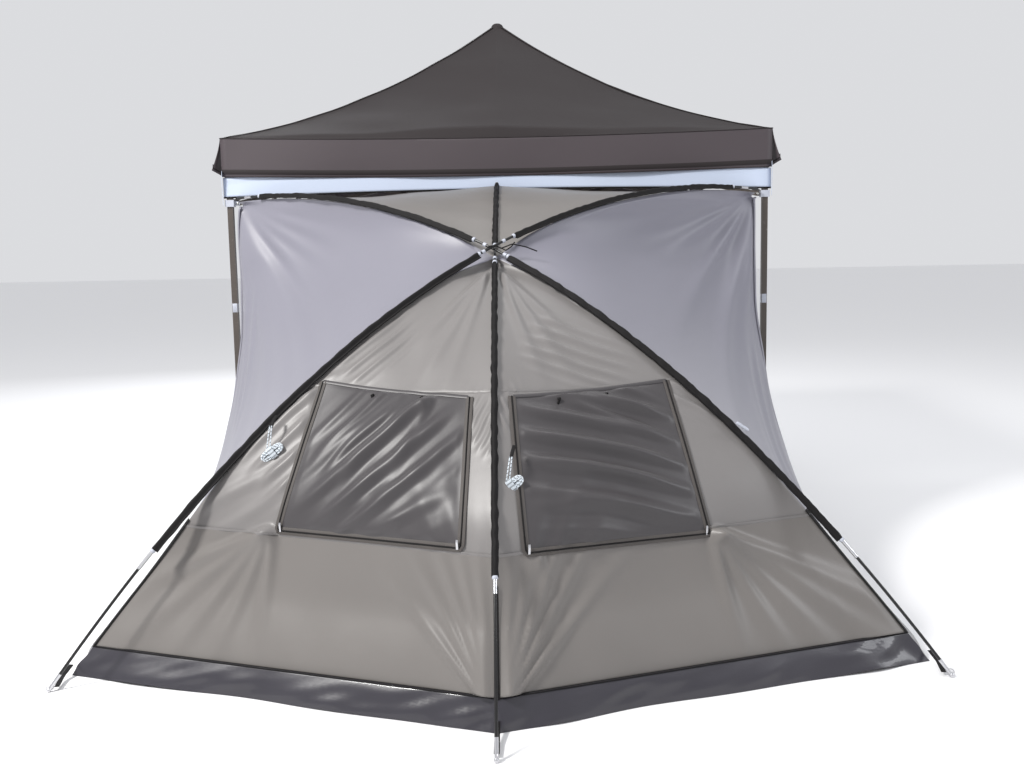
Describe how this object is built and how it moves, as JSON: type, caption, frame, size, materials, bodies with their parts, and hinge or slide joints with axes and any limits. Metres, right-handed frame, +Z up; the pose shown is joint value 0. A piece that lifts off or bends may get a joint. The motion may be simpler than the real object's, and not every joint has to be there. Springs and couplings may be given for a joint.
{
  "type": "screen house",
  "caption": "Pop-up gazebo on four telescoping legs with a scissor frame, and a pole-arched fabric tent room hooked onto its front.",
  "frame": {"origin": "on the ground, at the centre of the outline", "axes": "+Z up; the tent is at the front, -Y, and the gazebo at the rear, +Y; +X is to the right as seen from the front"},
  "size_m": [3.58, 5.483, 3.122],
  "materials": {
    "frame": "satin powder coat, brown-grey",
    "moulding": "light grey moulded nylon",
    "canopy": "charcoal-brown coated polyester, plain weave",
    "tent_wall": "lavender-grey and taupe-grey nylon, satin",
    "ground_sheet": "dark woven polyethylene",
    "tent_pole": "black fibreglass",
    "cord": "pale blue-white braided cord"
  },
  "bodies": {
    "root": {"hub_top": "moulding", "peak_mast": "frame", "tent_shell": "tent_wall", "tent_floor": "ground_sheet", "tent_back_wall": "tent_wall", "tent_pole_left": "tent_pole", "tent_pole_right": "tent_pole", "tent_pole_middle": "tent_pole", "guy_hank_left": "cord", "guy_hank_middle": "cord"},
    "roof_bar_front_a": {"roof_bar_front_a": "frame"},
    "roof_bar_front_b": {"roof_bar_front_b": "frame"},
    "knuckle_low_front": {"knuckle_low_front": "moulding"},
    "knuckle_top_front": {"knuckle_top_front": "moulding"},
    "roof_bar_right_a": {"roof_bar_right_a": "frame"},
    "roof_bar_right_b": {"roof_bar_right_b": "frame"},
    "knuckle_low_right": {"knuckle_low_right": "moulding"},
    "knuckle_top_right": {"knuckle_top_right": "moulding"},
    "roof_bar_rear_a": {"roof_bar_rear_a": "frame"},
    "roof_bar_rear_b": {"roof_bar_rear_b": "frame"},
    "knuckle_low_rear": {"knuckle_low_rear": "moulding"},
    "knuckle_top_rear": {"knuckle_top_rear": "moulding"},
    "roof_bar_left_a": {"roof_bar_left_a": "frame"},
    "roof_bar_left_b": {"roof_bar_left_b": "frame"},
    "knuckle_low_left": {"knuckle_low_left": "moulding"},
    "knuckle_top_left": {"knuckle_top_left": "moulding"},
    "hub_low": {"hub_low": "moulding"},
    "truss_front_left_a": {"truss_front_left_a": "frame"},
    "truss_front_left_b": {"truss_front_left_b": "frame"},
    "truss_front_right_a": {"truss_front_right_a": "frame"},
    "truss_front_right_b": {"truss_front_right_b": "frame"},
    "truss_right_rear_a": {"truss_right_rear_a": "frame"},
    "truss_right_rear_b": {"truss_right_rear_b": "frame"},
    "truss_right_front_a": {"truss_right_front_a": "frame"},
    "truss_right_front_b": {"truss_right_front_b": "frame"},
    "truss_rear_right_a": {"truss_rear_right_a": "frame"},
    "truss_rear_right_b": {"truss_rear_right_b": "frame"},
    "truss_rear_left_a": {"truss_rear_left_a": "frame"},
    "truss_rear_left_b": {"truss_rear_left_b": "frame"},
    "truss_left_front_a": {"truss_left_front_a": "frame"},
    "truss_left_front_b": {"truss_left_front_b": "frame"},
    "truss_left_rear_a": {"truss_left_rear_a": "frame"},
    "truss_left_rear_b": {"truss_left_rear_b": "frame"},
    "leg_outer_front_left": {"leg_outer_front_left": "frame"},
    "slider_front_left": {"slider_front_left": "moulding"},
    "leg_inner_front_left": {"leg_inner_front_left": "frame"},
    "leg_outer_front_right": {"leg_outer_front_right": "frame"},
    "slider_front_right": {"slider_front_right": "moulding"},
    "leg_inner_front_right": {"leg_inner_front_right": "frame"},
    "leg_outer_rear_left": {"leg_outer_rear_left": "frame"},
    "slider_rear_left": {"slider_rear_left": "moulding"},
    "leg_inner_rear_left": {"leg_inner_rear_left": "frame"},
    "leg_outer_rear_right": {"leg_outer_rear_right": "frame"},
    "slider_rear_right": {"slider_rear_right": "moulding"},
    "leg_inner_rear_right": {"leg_inner_rear_right": "frame"},
    "canopy_front": {"canopy_front": "canopy"},
    "canopy_right": {"canopy_right": "canopy"},
    "canopy_rear": {"canopy_rear": "canopy"},
    "canopy_left": {"canopy_left": "canopy"},
    "tent_door": {"tent_door": "tent_wall"}
  },
  "joints": [
    {"name": "frame_fold", "type": "hinge", "parent": "root", "child": "roof_bar_front_a", "pos_m": [0, 1.2316, 2.235], "axis": [1, 0, 0], "range_deg": [0, 72]},
    {"name": "fold_cross_front", "type": "hinge", "parent": "roof_bar_front_a", "child": "roof_bar_front_b", "pos_m": [0, 0.5541, 2.09], "axis": [1, 0, 0], "range_deg": [-144, 0]},
    {"name": "level_low_front", "type": "hinge", "parent": "roof_bar_front_a", "child": "knuckle_low_front", "pos_m": [0, -0.1234, 1.945], "axis": [1, 0, 0], "range_deg": [-72, 0]},
    {"name": "level_top_front", "type": "hinge", "parent": "roof_bar_front_b", "child": "knuckle_top_front", "pos_m": [0, -0.1234, 2.235], "axis": [1, 0, 0], "range_deg": [0, 72]},
    {"name": "fold_roof_right", "type": "hinge", "parent": "root", "child": "roof_bar_right_a", "pos_m": [0.04, 1.2716, 2.235], "axis": [0, 1, 0], "range_deg": [0, 72]},
    {"name": "fold_cross_right", "type": "hinge", "parent": "roof_bar_right_a", "child": "roof_bar_right_b", "pos_m": [0.7175, 1.2716, 2.09], "axis": [0, 1, 0], "range_deg": [-144, 0]},
    {"name": "level_low_right", "type": "hinge", "parent": "roof_bar_right_a", "child": "knuckle_low_right", "pos_m": [1.395, 1.2716, 1.945], "axis": [0, 1, 0], "range_deg": [-72, 0]},
    {"name": "level_top_right", "type": "hinge", "parent": "roof_bar_right_b", "child": "knuckle_top_right", "pos_m": [1.395, 1.2716, 2.235], "axis": [0, 1, 0], "range_deg": [0, 72]},
    {"name": "fold_roof_rear", "type": "hinge", "parent": "root", "child": "roof_bar_rear_a", "pos_m": [0, 1.3116, 2.235], "axis": [-1, 0, 0], "range_deg": [0, 72]},
    {"name": "fold_cross_rear", "type": "hinge", "parent": "roof_bar_rear_a", "child": "roof_bar_rear_b", "pos_m": [0, 1.9891, 2.09], "axis": [-1, 0, 0], "range_deg": [-144, 0]},
    {"name": "level_low_rear", "type": "hinge", "parent": "roof_bar_rear_a", "child": "knuckle_low_rear", "pos_m": [0, 2.6666, 1.945], "axis": [-1, 0, 0], "range_deg": [-72, 0]},
    {"name": "level_top_rear", "type": "hinge", "parent": "roof_bar_rear_b", "child": "knuckle_top_rear", "pos_m": [0, 2.6666, 2.235], "axis": [-1, 0, 0], "range_deg": [0, 72]},
    {"name": "fold_roof_left", "type": "hinge", "parent": "root", "child": "roof_bar_left_a", "pos_m": [-0.04, 1.2716, 2.235], "axis": [0, -1, 0], "range_deg": [0, 72]},
    {"name": "fold_cross_left", "type": "hinge", "parent": "roof_bar_left_a", "child": "roof_bar_left_b", "pos_m": [-0.7175, 1.2716, 2.09], "axis": [0, -1, 0], "range_deg": [-144, 0]},
    {"name": "level_low_left", "type": "hinge", "parent": "roof_bar_left_a", "child": "knuckle_low_left", "pos_m": [-1.395, 1.2716, 1.945], "axis": [0, -1, 0], "range_deg": [-72, 0]},
    {"name": "level_top_left", "type": "hinge", "parent": "roof_bar_left_b", "child": "knuckle_top_left", "pos_m": [-1.395, 1.2716, 2.235], "axis": [0, -1, 0], "range_deg": [0, 72]},
    {"name": "level_hub_low", "type": "hinge", "parent": "roof_bar_front_b", "child": "hub_low", "pos_m": [0, 1.2316, 1.945], "axis": [1, 0, 0], "range_deg": [0, 72]},
    {"name": "fold_front_left_a", "type": "hinge", "parent": "knuckle_low_front", "child": "truss_front_left_a", "pos_m": [-0.04, -0.1634, 1.945], "axis": [0, -1, 0], "range_deg": [-72, 0]},
    {"name": "fold_front_left_b", "type": "hinge", "parent": "knuckle_top_front", "child": "truss_front_left_b", "pos_m": [-0.04, -0.1634, 2.235], "axis": [0, -1, 0], "range_deg": [0, 72]},
    {"name": "fold_front_right_a", "type": "hinge", "parent": "knuckle_low_front", "child": "truss_front_right_a", "pos_m": [0.04, -0.1634, 1.945], "axis": [0, 1, 0], "range_deg": [-72, 0]},
    {"name": "fold_front_right_b", "type": "hinge", "parent": "knuckle_top_front", "child": "truss_front_right_b", "pos_m": [0.04, -0.1634, 2.235], "axis": [0, 1, 0], "range_deg": [0, 72]},
    {"name": "fold_right_rear_a", "type": "hinge", "parent": "knuckle_low_right", "child": "truss_right_rear_a", "pos_m": [1.435, 1.3116, 1.945], "axis": [-1, 0, 0], "range_deg": [-72, 0]},
    {"name": "fold_right_rear_b", "type": "hinge", "parent": "knuckle_top_right", "child": "truss_right_rear_b", "pos_m": [1.435, 1.3116, 2.235], "axis": [-1, 0, 0], "range_deg": [0, 72]},
    {"name": "fold_right_front_a", "type": "hinge", "parent": "knuckle_low_right", "child": "truss_right_front_a", "pos_m": [1.435, 1.2316, 1.945], "axis": [1, 0, 0], "range_deg": [-72, 0]},
    {"name": "fold_right_front_b", "type": "hinge", "parent": "knuckle_top_right", "child": "truss_right_front_b", "pos_m": [1.435, 1.2316, 2.235], "axis": [1, 0, 0], "range_deg": [0, 72]},
    {"name": "fold_rear_right_a", "type": "hinge", "parent": "knuckle_low_rear", "child": "truss_rear_right_a", "pos_m": [0.04, 2.7066, 1.945], "axis": [0, 1, 0], "range_deg": [-72, 0]},
    {"name": "fold_rear_right_b", "type": "hinge", "parent": "knuckle_top_rear", "child": "truss_rear_right_b", "pos_m": [0.04, 2.7066, 2.235], "axis": [0, 1, 0], "range_deg": [0, 72]},
    {"name": "fold_rear_left_a", "type": "hinge", "parent": "knuckle_low_rear", "child": "truss_rear_left_a", "pos_m": [-0.04, 2.7066, 1.945], "axis": [0, -1, 0], "range_deg": [-72, 0]},
    {"name": "fold_rear_left_b", "type": "hinge", "parent": "knuckle_top_rear", "child": "truss_rear_left_b", "pos_m": [-0.04, 2.7066, 2.235], "axis": [0, -1, 0], "range_deg": [0, 72]},
    {"name": "fold_left_front_a", "type": "hinge", "parent": "knuckle_low_left", "child": "truss_left_front_a", "pos_m": [-1.435, 1.2316, 1.945], "axis": [1, 0, 0], "range_deg": [-72, 0]},
    {"name": "fold_left_front_b", "type": "hinge", "parent": "knuckle_top_left", "child": "truss_left_front_b", "pos_m": [-1.435, 1.2316, 2.235], "axis": [1, 0, 0], "range_deg": [0, 72]},
    {"name": "fold_left_rear_a", "type": "hinge", "parent": "knuckle_low_left", "child": "truss_left_rear_a", "pos_m": [-1.435, 1.3116, 1.945], "axis": [-1, 0, 0], "range_deg": [-72, 0]},
    {"name": "fold_left_rear_b", "type": "hinge", "parent": "knuckle_top_left", "child": "truss_left_rear_b", "pos_m": [-1.435, 1.3116, 2.235], "axis": [-1, 0, 0], "range_deg": [0, 72]},
    {"name": "level_leg_front_left", "type": "hinge", "parent": "truss_front_left_a", "child": "leg_outer_front_left", "pos_m": [-1.395, -0.1634, 2.235], "axis": [0, -1, 0], "range_deg": [0, 72]},
    {"name": "level_slider_front_left", "type": "hinge", "parent": "truss_front_left_b", "child": "slider_front_left", "pos_m": [-1.395, -0.1634, 1.945], "axis": [0, -1, 0], "range_deg": [-72, 0]},
    {"name": "leg_length_front_left", "type": "slide", "parent": "leg_outer_front_left", "child": "leg_inner_front_left", "axis": [0, 0, 1], "range_m": [0, 0.58]},
    {"name": "level_leg_front_right", "type": "hinge", "parent": "truss_front_right_a", "child": "leg_outer_front_right", "pos_m": [1.395, -0.1634, 2.235], "axis": [0, 1, 0], "range_deg": [0, 72]},
    {"name": "level_slider_front_right", "type": "hinge", "parent": "truss_front_right_b", "child": "slider_front_right", "pos_m": [1.395, -0.1634, 1.945], "axis": [0, 1, 0], "range_deg": [-72, 0]},
    {"name": "leg_length_front_right", "type": "slide", "parent": "leg_outer_front_right", "child": "leg_inner_front_right", "axis": [0, 0, 1], "range_m": [0, 0.58]},
    {"name": "level_leg_rear_left", "type": "hinge", "parent": "truss_rear_left_a", "child": "leg_outer_rear_left", "pos_m": [-1.395, 2.7066, 2.235], "axis": [0, -1, 0], "range_deg": [0, 72]},
    {"name": "level_slider_rear_left", "type": "hinge", "parent": "truss_rear_left_b", "child": "slider_rear_left", "pos_m": [-1.395, 2.7066, 1.945], "axis": [0, -1, 0], "range_deg": [-72, 0]},
    {"name": "leg_length_rear_left", "type": "slide", "parent": "leg_outer_rear_left", "child": "leg_inner_rear_left", "axis": [0, 0, 1], "range_m": [0, 0.58]},
    {"name": "level_leg_rear_right", "type": "hinge", "parent": "truss_rear_right_a", "child": "leg_outer_rear_right", "pos_m": [1.395, 2.7066, 2.235], "axis": [0, 1, 0], "range_deg": [0, 72]},
    {"name": "level_slider_rear_right", "type": "hinge", "parent": "truss_rear_right_b", "child": "slider_rear_right", "pos_m": [1.395, 2.7066, 1.945], "axis": [0, 1, 0], "range_deg": [-72, 0]},
    {"name": "leg_length_rear_right", "type": "slide", "parent": "leg_outer_rear_right", "child": "leg_inner_rear_right", "axis": [0, 0, 1], "range_m": [0, 0.58]},
    {"name": "canopy_fold_front", "type": "hinge", "parent": "root", "child": "canopy_front", "pos_m": [0, 1.2716, 3.125], "axis": [1, 0, 0], "range_deg": [0, 36], "deforming": ["canopy_front"]},
    {"name": "canopy_fold_right", "type": "hinge", "parent": "root", "child": "canopy_right", "pos_m": [0, 1.2716, 3.125], "axis": [0, 1, 0], "range_deg": [0, 36], "deforming": ["canopy_right"]},
    {"name": "canopy_fold_rear", "type": "hinge", "parent": "root", "child": "canopy_rear", "pos_m": [0, 1.2716, 3.125], "axis": [-1, 0, 0], "range_deg": [0, 36], "deforming": ["canopy_rear"]},
    {"name": "canopy_fold_left", "type": "hinge", "parent": "root", "child": "canopy_left", "pos_m": [0, 1.2716, 3.125], "axis": [0, -1, 0], "range_deg": [0, 36], "deforming": ["canopy_left"]},
    {"name": "door_swing", "type": "hinge", "parent": "root", "child": "tent_door", "pos_m": [-0.456, -0.2249, 0.9], "axis": [0, 0, 1], "range_deg": [0, 110]}
  ],
  "couplings": [
    {"joint": "fold_cross_front", "follows": "frame_fold", "ratio": -2},
    {"joint": "level_low_front", "follows": "frame_fold", "ratio": -1},
    {"joint": "level_top_front", "follows": "frame_fold", "ratio": 1},
    {"joint": "fold_roof_right", "follows": "frame_fold", "ratio": 1},
    {"joint": "fold_cross_right", "follows": "frame_fold", "ratio": -2},
    {"joint": "level_low_right", "follows": "frame_fold", "ratio": -1},
    {"joint": "level_top_right", "follows": "frame_fold", "ratio": 1},
    {"joint": "fold_roof_rear", "follows": "frame_fold", "ratio": 1},
    {"joint": "fold_cross_rear", "follows": "frame_fold", "ratio": -2},
    {"joint": "level_low_rear", "follows": "frame_fold", "ratio": -1},
    {"joint": "level_top_rear", "follows": "frame_fold", "ratio": 1},
    {"joint": "fold_roof_left", "follows": "frame_fold", "ratio": 1},
    {"joint": "fold_cross_left", "follows": "frame_fold", "ratio": -2},
    {"joint": "level_low_left", "follows": "frame_fold", "ratio": -1},
    {"joint": "level_top_left", "follows": "frame_fold", "ratio": 1},
    {"joint": "level_hub_low", "follows": "frame_fold", "ratio": 1},
    {"joint": "fold_front_left_a", "follows": "frame_fold", "ratio": -1},
    {"joint": "fold_front_left_b", "follows": "frame_fold", "ratio": 1},
    {"joint": "fold_front_right_a", "follows": "frame_fold", "ratio": -1},
    {"joint": "fold_front_right_b", "follows": "frame_fold", "ratio": 1},
    {"joint": "fold_right_rear_a", "follows": "frame_fold", "ratio": -1},
    {"joint": "fold_right_rear_b", "follows": "frame_fold", "ratio": 1},
    {"joint": "fold_right_front_a", "follows": "frame_fold", "ratio": -1},
    {"joint": "fold_right_front_b", "follows": "frame_fold", "ratio": 1},
    {"joint": "fold_rear_right_a", "follows": "frame_fold", "ratio": -1},
    {"joint": "fold_rear_right_b", "follows": "frame_fold", "ratio": 1},
    {"joint": "fold_rear_left_a", "follows": "frame_fold", "ratio": -1},
    {"joint": "fold_rear_left_b", "follows": "frame_fold", "ratio": 1},
    {"joint": "fold_left_front_a", "follows": "frame_fold", "ratio": -1},
    {"joint": "fold_left_front_b", "follows": "frame_fold", "ratio": 1},
    {"joint": "fold_left_rear_a", "follows": "frame_fold", "ratio": -1},
    {"joint": "fold_left_rear_b", "follows": "frame_fold", "ratio": 1},
    {"joint": "level_leg_front_left", "follows": "frame_fold", "ratio": 1},
    {"joint": "level_slider_front_left", "follows": "frame_fold", "ratio": -1},
    {"joint": "level_leg_front_right", "follows": "frame_fold", "ratio": 1},
    {"joint": "level_slider_front_right", "follows": "frame_fold", "ratio": -1},
    {"joint": "level_leg_rear_left", "follows": "frame_fold", "ratio": 1},
    {"joint": "level_slider_rear_left", "follows": "frame_fold", "ratio": -1},
    {"joint": "level_leg_rear_right", "follows": "frame_fold", "ratio": 1},
    {"joint": "level_slider_rear_right", "follows": "frame_fold", "ratio": -1},
    {"joint": "canopy_fold_front", "follows": "frame_fold", "ratio": 0.5},
    {"joint": "canopy_fold_right", "follows": "frame_fold", "ratio": 0.5},
    {"joint": "canopy_fold_rear", "follows": "frame_fold", "ratio": 0.5},
    {"joint": "canopy_fold_left", "follows": "frame_fold", "ratio": 0.5}
  ]
}
